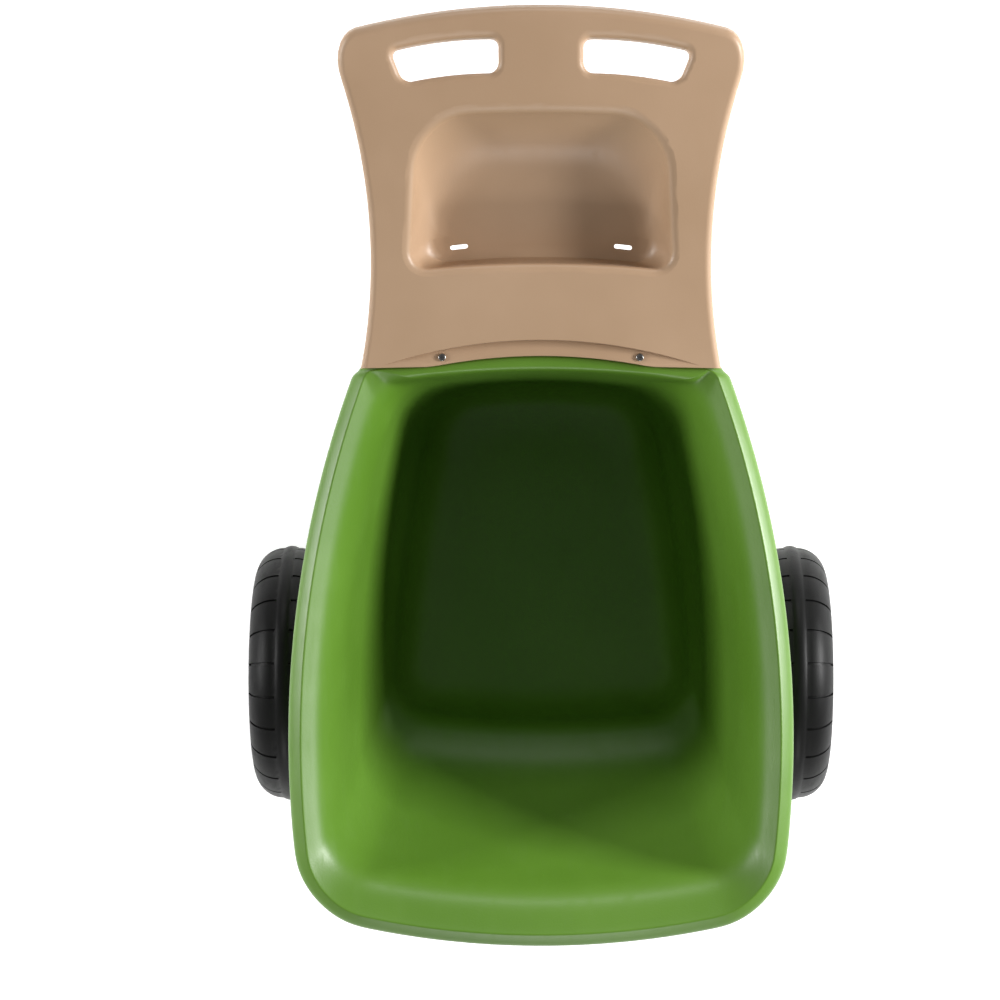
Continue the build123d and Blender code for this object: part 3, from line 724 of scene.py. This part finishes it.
stand_poly = moulded_poly("black_stand_polyethylene", (0.0105, 0.0105, 0.0110), (0.0170, 0.0170, 0.0175),
                          0.46, 0.30, 0.14)
stand = softened_copy("stand_moulding", "rear_stand", 0.0011)
finish_piece(stand, stand_poly, "cart", "hardware_black", "rear_stand")

# ---------------------------------------------------------------------------------------------
# Wheels. Each is one hollow blow moulding in black polyethylene: a crowned tread with cross
# grooves, both faces dished, six ribs on the outer face and a hub tube in the middle.
# ---------------------------------------------------------------------------------------------
wheel_low, wheel_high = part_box("right_wheel")
tread_radius = axle_z
wheel_half = (wheel_high[0] - wheel_low[0]) / 2
wheel_middle_x = (wheel_high[0] + wheel_low[0]) / 2
shoulder_round = 0.038
crown_drop = 0.003
dish_depth = 0.018
dish_radius = 0.122
hub_radius = 0.030
hub_bore = 0.0121
cap_well_radius = 0.035
cap_well_x = wheel_half - 0.025
groove_count = 24
groove_width = 0.0036
groove_depth = 0.0025
smooth_half = 0.0085
rib_count = 6
rib_half_width = 0.007
rib_start = 0.040


def softened_path(corners):
    """An open path of (x, radius, rounding) corners with each rounding drawn as a curve."""
    path = []
    for before, here, after in zip(corners, corners[1:], corners[2:]):
        place, reach = Vector(here[:2]), here[2]
        towards_before = (Vector(before[:2]) - place).normalized() * reach
        towards_after = (Vector(after[:2]) - place).normalized() * reach
        start, end = place + towards_before, place + towards_after
        path += [start] + rounded_corner(start, place, end, 4) + [end]
    return path


def wheel_section():
    """The wheel's section as a closed loop of X and radius, crown first."""
    crown_half = wheel_half - shoulder_round
    shoulder_radius = tread_radius - crown_drop
    turn_centre = shoulder_radius - shoulder_round
    crown = []
    for step in range(5):
        crown.append(Vector((crown_half * step / 4, tread_radius - crown_drop * (step / 4) ** 2)))
    shoulder = []
    for step in range(1, 13):
        turn = pi / 2 * (1 - step / 12)
        across, up = shoulder_round * cos(turn), shoulder_round * sin(turn)
        shoulder.append(Vector((crown_half + across, turn_centre + up)))
    dish_x = wheel_half - dish_depth
    outer_face = softened_path([
        (wheel_half, turn_centre, 0), (wheel_half, dish_radius + 0.008, 0.003),
        (dish_x, dish_radius - 0.002, 0.004), (dish_x, cap_well_radius, 0.0012),
        (cap_well_x, cap_well_radius, 0.0010), (cap_well_x, hub_bore, 0.0004), (0, hub_bore, 0),
    ])
    inner_face = softened_path([
        (0, hub_bore, 0), (-wheel_half + 0.002, hub_bore, 0.0004), (-wheel_half + 0.002, hub_radius, 0.002),
        (-dish_x, hub_radius + 0.014, 0.004), (-dish_x, dish_radius - 0.002, 0.004),
        (-wheel_half, dish_radius + 0.008, 0.003), (-wheel_half, turn_centre, 0),
    ])
    left = [Vector((-p.x, p.y)) for p in (crown[1:] + shoulder)[::-1]]
    return crown + shoulder + outer_face + inner_face + left


def turned_ring(section, turn):
    """The section turned about the axle line by this angle from straight up."""
    rear, up = sin(turn), cos(turn)
    return [Vector((wheel_middle_x + p.x, axle_y + p.y * rear, axle_z + p.y * up)) for p in section]


section = wheel_section()
axle_line = (0, axle_y, axle_z)
pitch = 2 * pi / groove_count
groove_turn = groove_width / tread_radius
wheel = start_ring("right_wheel_moulding", turned_ring(section, 0))
for steps, angle in ((3, (pitch - groove_turn) / 2), (1, groove_turn), (3, (pitch - groove_turn) / 2)):
    bpy.ops.mesh.spin(steps=steps, angle=angle, center=axle_line, axis=(1, 0, 0))


def groove_faces(mesh):
    """The faces of one pitch that lie under its groove, on both shoulders of the tread."""
    chosen = []
    for face in mesh.faces:
        centre = face.calc_center_median()
        radius = sqrt((centre.y - axle_y) ** 2 + (centre.z - axle_z) ** 2)
        turn = abs(atan2(centre.y - axle_y, centre.z - axle_z))
        in_groove = abs(turn - pitch / 2) < groove_turn / 3
        on_shoulder = radius > 0.82 * tread_radius and abs(centre.x - wheel_middle_x) > smooth_half
        if in_groove and on_shoulder:
            chosen.append(face)
    return chosen


bpy.ops.mesh.select_mode(type="FACE")
bpy.ops.mesh.select_all(action="SELECT")
bpy.ops.mesh.normals_make_consistent(inside=False)
bpy.ops.mesh.select_all(action="DESELECT")
mesh = bmesh.from_edit_mesh(wheel.data)
for face in groove_faces(mesh):
    face.select_set(True)
bmesh.update_edit_mesh(wheel.data)
bpy.ops.mesh.inset(thickness=0.0004, depth=-groove_depth)
bpy.ops.mesh.select_all(action="SELECT")
bpy.ops.mesh.spin(steps=groove_count - 1, angle=2 * pi - pitch, dupli=True,
                  center=axle_line, axis=(1, 0, 0))
bpy.ops.mesh.select_all(action="SELECT")
bpy.ops.mesh.remove_doubles(threshold=0.00001)
bpy.ops.mesh.normals_make_consistent(inside=False)
bpy.ops.object.mode_set(mode="OBJECT")
ribs = []
rib_x = wheel_middle_x + wheel_half - dish_depth
rib_low = (rib_x - 0.002, axle_y - rib_half_width, axle_z + rib_start)
rib_high = (rib_x + 0.007, axle_y + rib_half_width, axle_z + dish_radius + 0.003)
for index in range(rib_count):
    rib = block("rib", rib_low, rib_high, 0.0022, 3)
    turn = Matrix.Translation(Vector(axle_line)) @ Matrix.Rotation(index * 2 * pi / rib_count, 4, "X")
    rib.data.transform(turn @ Matrix.Translation(-Vector(axle_line)))
    ribs.append(rib)
cut(wheel, join_pieces(ribs[0], ribs[1:]), "UNION")
weighted(wheel, 32)


def mirrored_copy(name, piece):
    """The left-hand twin of a right-hand piece, with its own mesh."""
    twin = piece.copy()
    twin.data = piece.data.copy()
    twin.name = name
    bpy.context.collection.objects.link(twin)
    twin.data.transform(Matrix.Scale(-1, 4, (1, 0, 0)))
    twin.data.flip_normals()
    return twin


tyre_poly = moulded_poly("black_wheel_polyethylene", (0.0045, 0.0045, 0.0045), (0.0080, 0.0080, 0.0080),
                         0.42, 0.30, 0.14)
tyre_poly.node_tree.nodes["Principled BSDF"].inputs["Specular IOR Level"].default_value = 0.14
left_wheel = mirrored_copy("left_wheel_moulding", wheel)
finish_piece(wheel, tyre_poly, "right_wheel_assembly", "wheel_black", "right_wheel")
finish_piece(left_wheel, tyre_poly, "left_wheel_assembly", "wheel_black", "left_wheel")

# ---------------------------------------------------------------------------------------------
# Hub caps, axle clamps. Small black polyethylene mouldings: a cap plugs each hub's well, and a
# clamp under each saddle of the tub holds the axle. The frame's shapes with softened edges.
# ---------------------------------------------------------------------------------------------
small_poly = moulded_poly("black_small_polyethylene", (0.0120, 0.0120, 0.0125), (0.0185, 0.0185, 0.0190),
                          0.34, 0.20, 0.10)
for side in ("left", "right"):
    cap = softened_copy(side + "_cap_moulding", side + "_hub_cap", 0.0005)
    finish_piece(cap, small_poly, side + "_wheel_assembly", "hardware_black", side + "_hub_cap")
    clamp = softened_copy(side + "_clamp_moulding", side + "_axle_clamp", 0.0009)
    finish_piece(clamp, small_poly, "cart", "hardware_black", side + "_axle_clamp")

# ---------------------------------------------------------------------------------------------
# Sleeves on the axle. Flanged nylon bushings in each hub and a nylon spacer from clamp to wheel:
# turned or moulded parts, off-white, a little translucent at the edges.
# ---------------------------------------------------------------------------------------------
def finish_node(node, material):
    """Puts a material on a node that keeps the frame's own shape."""
    if not nodes[node].material_slots:
        nodes[node].data.materials.append(material)
    for material_slot in nodes[node].material_slots:
        material_slot.material = material


def turned_nylon():
    """Off-white nylon: a slight colour drift and fine turning rings round the axle line."""
    material, tree, shader, place = new_finish("natural_nylon")
    drift = add_node(tree, "TexNoise", Vector=place, Scale=40.0, Detail=2.0)
    base = colour_ramp(tree, drift.outputs["Fac"], (0.60, 0.57, 0.49), (0.72, 0.70, 0.63))
    tree.links.new(base, shader.inputs["Base Color"])
    rings = add_node(tree, "TexWave", Vector=place, Scale=260.0, Distortion=0.6, Detail=1.0)
    rings.bands_direction = "X"
    bump = add_node(tree, "Bump", Strength=0.12, Distance=0.0002, Height=rings.outputs["Fac"])
    tree.links.new(bump.outputs["Normal"], shader.inputs["Normal"])
    shader.inputs["Roughness"].default_value = 0.45
    shader.inputs["Subsurface Weight"].default_value = 0.12
    shader.inputs["Subsurface Radius"].default_value = (0.004, 0.003, 0.002)
    return material


nylon = turned_nylon()
for side in ("left", "right"):
    for part in ("spacer", "inner_bushing", "outer_bushing"):
        finish_node(side + "_" + part, nylon)

# ---------------------------------------------------------------------------------------------
# Axle, washers and push nuts. A drawn steel rod and stamped rings, zinc plated: bright, with fine
# lines along the rod and a faint clouding of the plating.
# ---------------------------------------------------------------------------------------------
def plated_steel(name, colour, roughness, line_scale):
    """Plated steel: a clouded colour, uneven gloss and fine lines left by drawing or stamping."""
    material, tree, shader, place = new_finish(name)
    shader.inputs["Metallic"].default_value = 1.0
    cloud = add_node(tree, "TexNoise", Vector=place, Scale=180.0, Detail=4.0, Roughness=0.6)
    clouded = [0.78 * c for c in colour]
    base = colour_ramp(tree, cloud.outputs["Fac"], clouded, colour, 0.3, 0.7)
    tree.links.new(base, shader.inputs["Base Color"])
    gloss = add_node(tree, "MapRange", Value=cloud.outputs["Fac"],
                     To_Min=roughness - 0.08, To_Max=roughness + 0.14)
    tree.links.new(gloss.outputs["Result"], shader.inputs["Roughness"])
    stretched = add_node(tree, "Mapping", Vector=place, Scale=line_scale)
    lines = add_node(tree, "TexNoise", Vector=stretched.outputs["Vector"], Scale=1.0, Detail=3.0)
    bump = add_node(tree, "Bump", Strength=0.10, Distance=0.0001, Height=lines.outputs["Fac"])
    tree.links.new(bump.outputs["Normal"], shader.inputs["Normal"])
    return material


rod_steel = plated_steel("zinc_plated_rod", (0.62, 0.63, 0.64), 0.30, (60, 2500, 2500))
ring_steel = plated_steel("zinc_plated_stampings", (0.60, 0.61, 0.61), 0.34, (1200, 1200, 1200))
finish_node("axle", rod_steel)
for side in ("left", "right"):
    for part in ("inner_washer", "outer_washer", "push_nut"):
        finish_node(side + "_" + part, ring_steel)

# ---------------------------------------------------------------------------------------------
# Screws and nuts. Pan-head steel screws with a cross recess, darkened zinc: two hold the panel's
# front to the shelf with nuts below, two the braces, four the stand and four the axle clamps.
# ---------------------------------------------------------------------------------------------
screw_steel = plated_steel("darkened_zinc_screws", (0.30, 0.29, 0.28), 0.30, (1500, 1500, 1500))
for group in ("panel_front_screws", "panel_front_nuts", "panel_brace_screws", "stand_screws",
              "axle_clamp_screws"):
    finish_node(group, screw_steel)

# ---------------------------------------------------------------------------------------------
# Studio. The cart stands on a plain white floor under low soft lights at its sides, with a weaker
# one at each end, and the camera looks straight down on it from well above.
# ---------------------------------------------------------------------------------------------
camera_data = bpy.data.cameras.new("camera")
camera = bpy.data.objects.new("camera", camera_data)
bpy.context.collection.objects.link(camera)
camera.location = (0, -0.0025, 4.216)
camera_data.lens = 103.5
camera_data.sensor_width = 36
camera_data.shift_x = -0.041
camera_data.shift_y = -0.011
bpy.context.scene.camera = camera

clear_selection()
bpy.ops.mesh.primitive_plane_add(size=14, location=(0, 0, 0))
floor = bpy.context.object
floor.name = "studio_floor"
floor_white = bpy.data.materials.new("studio_white")
floor_white.use_nodes = True
floor_shader = floor_white.node_tree.nodes["Principled BSDF"]
floor_shader.inputs["Base Color"].default_value = (0.90, 0.90, 0.90, 1)
floor_shader.inputs["Roughness"].default_value = 0.9
floor_shader.inputs["Emission Color"].default_value = (1, 1, 1, 1)
floor_shader.inputs["Emission Strength"].default_value = 0.45
floor.data.materials.append(floor_white)

cart_middle_z = 0.45


def soft_light(name, place, width, height, power):
    """A long, low white area light aimed at the middle of the cart."""
    data = bpy.data.lights.new(name, "AREA")
    data.shape = "RECTANGLE"
    data.size = width
    data.size_y = height
    data.energy = power
    light = bpy.data.objects.new(name, data)
    bpy.context.collection.objects.link(light)
    light.location = place
    towards_cart = Vector((0, 0, cart_middle_z)) - Vector(place)
    light.rotation_euler = towards_cart.to_track_quat("-Z", "Y").to_euler()


soft_light("right_softbox", (3.0, 0.35, 1.72), 1.3, 0.6, 165)
soft_light("left_softbox", (-3.0, 0.35, 1.60), 1.3, 0.6, 72)
soft_light("front_softbox", (0.0, -3.4, 1.45), 1.6, 0.6, 32)
soft_light("rear_softbox", (0.0, 3.4, 2.2), 1.6, 0.6, 30)

# The surroundings are bright near the horizon and dim overhead, as under a studio's dark ceiling
world = bpy.data.worlds.new("studio")
world.use_nodes = True
sky = world.node_tree
direction = sky.nodes.new("ShaderNodeTexCoord")
height = sky.nodes.new("ShaderNodeSeparateXYZ")
shade = sky.nodes.new("ShaderNodeValToRGB")
sky.links.new(direction.outputs["Generated"], height.inputs["Vector"])
sky.links.new(height.outputs["Z"], shade.inputs["Fac"])
sky.links.new(shade.outputs["Color"], sky.nodes["Background"].inputs["Color"])
shade.color_ramp.elements[0].position = 0.02
shade.color_ramp.elements[0].color = (0.55, 0.55, 0.55, 1)
shade.color_ramp.elements[1].position = 0.75
shade.color_ramp.elements[1].color = (0.17, 0.17, 0.17, 1)
bpy.context.scene.world = world
bpy.context.scene.view_settings.view_transform = "Standard"
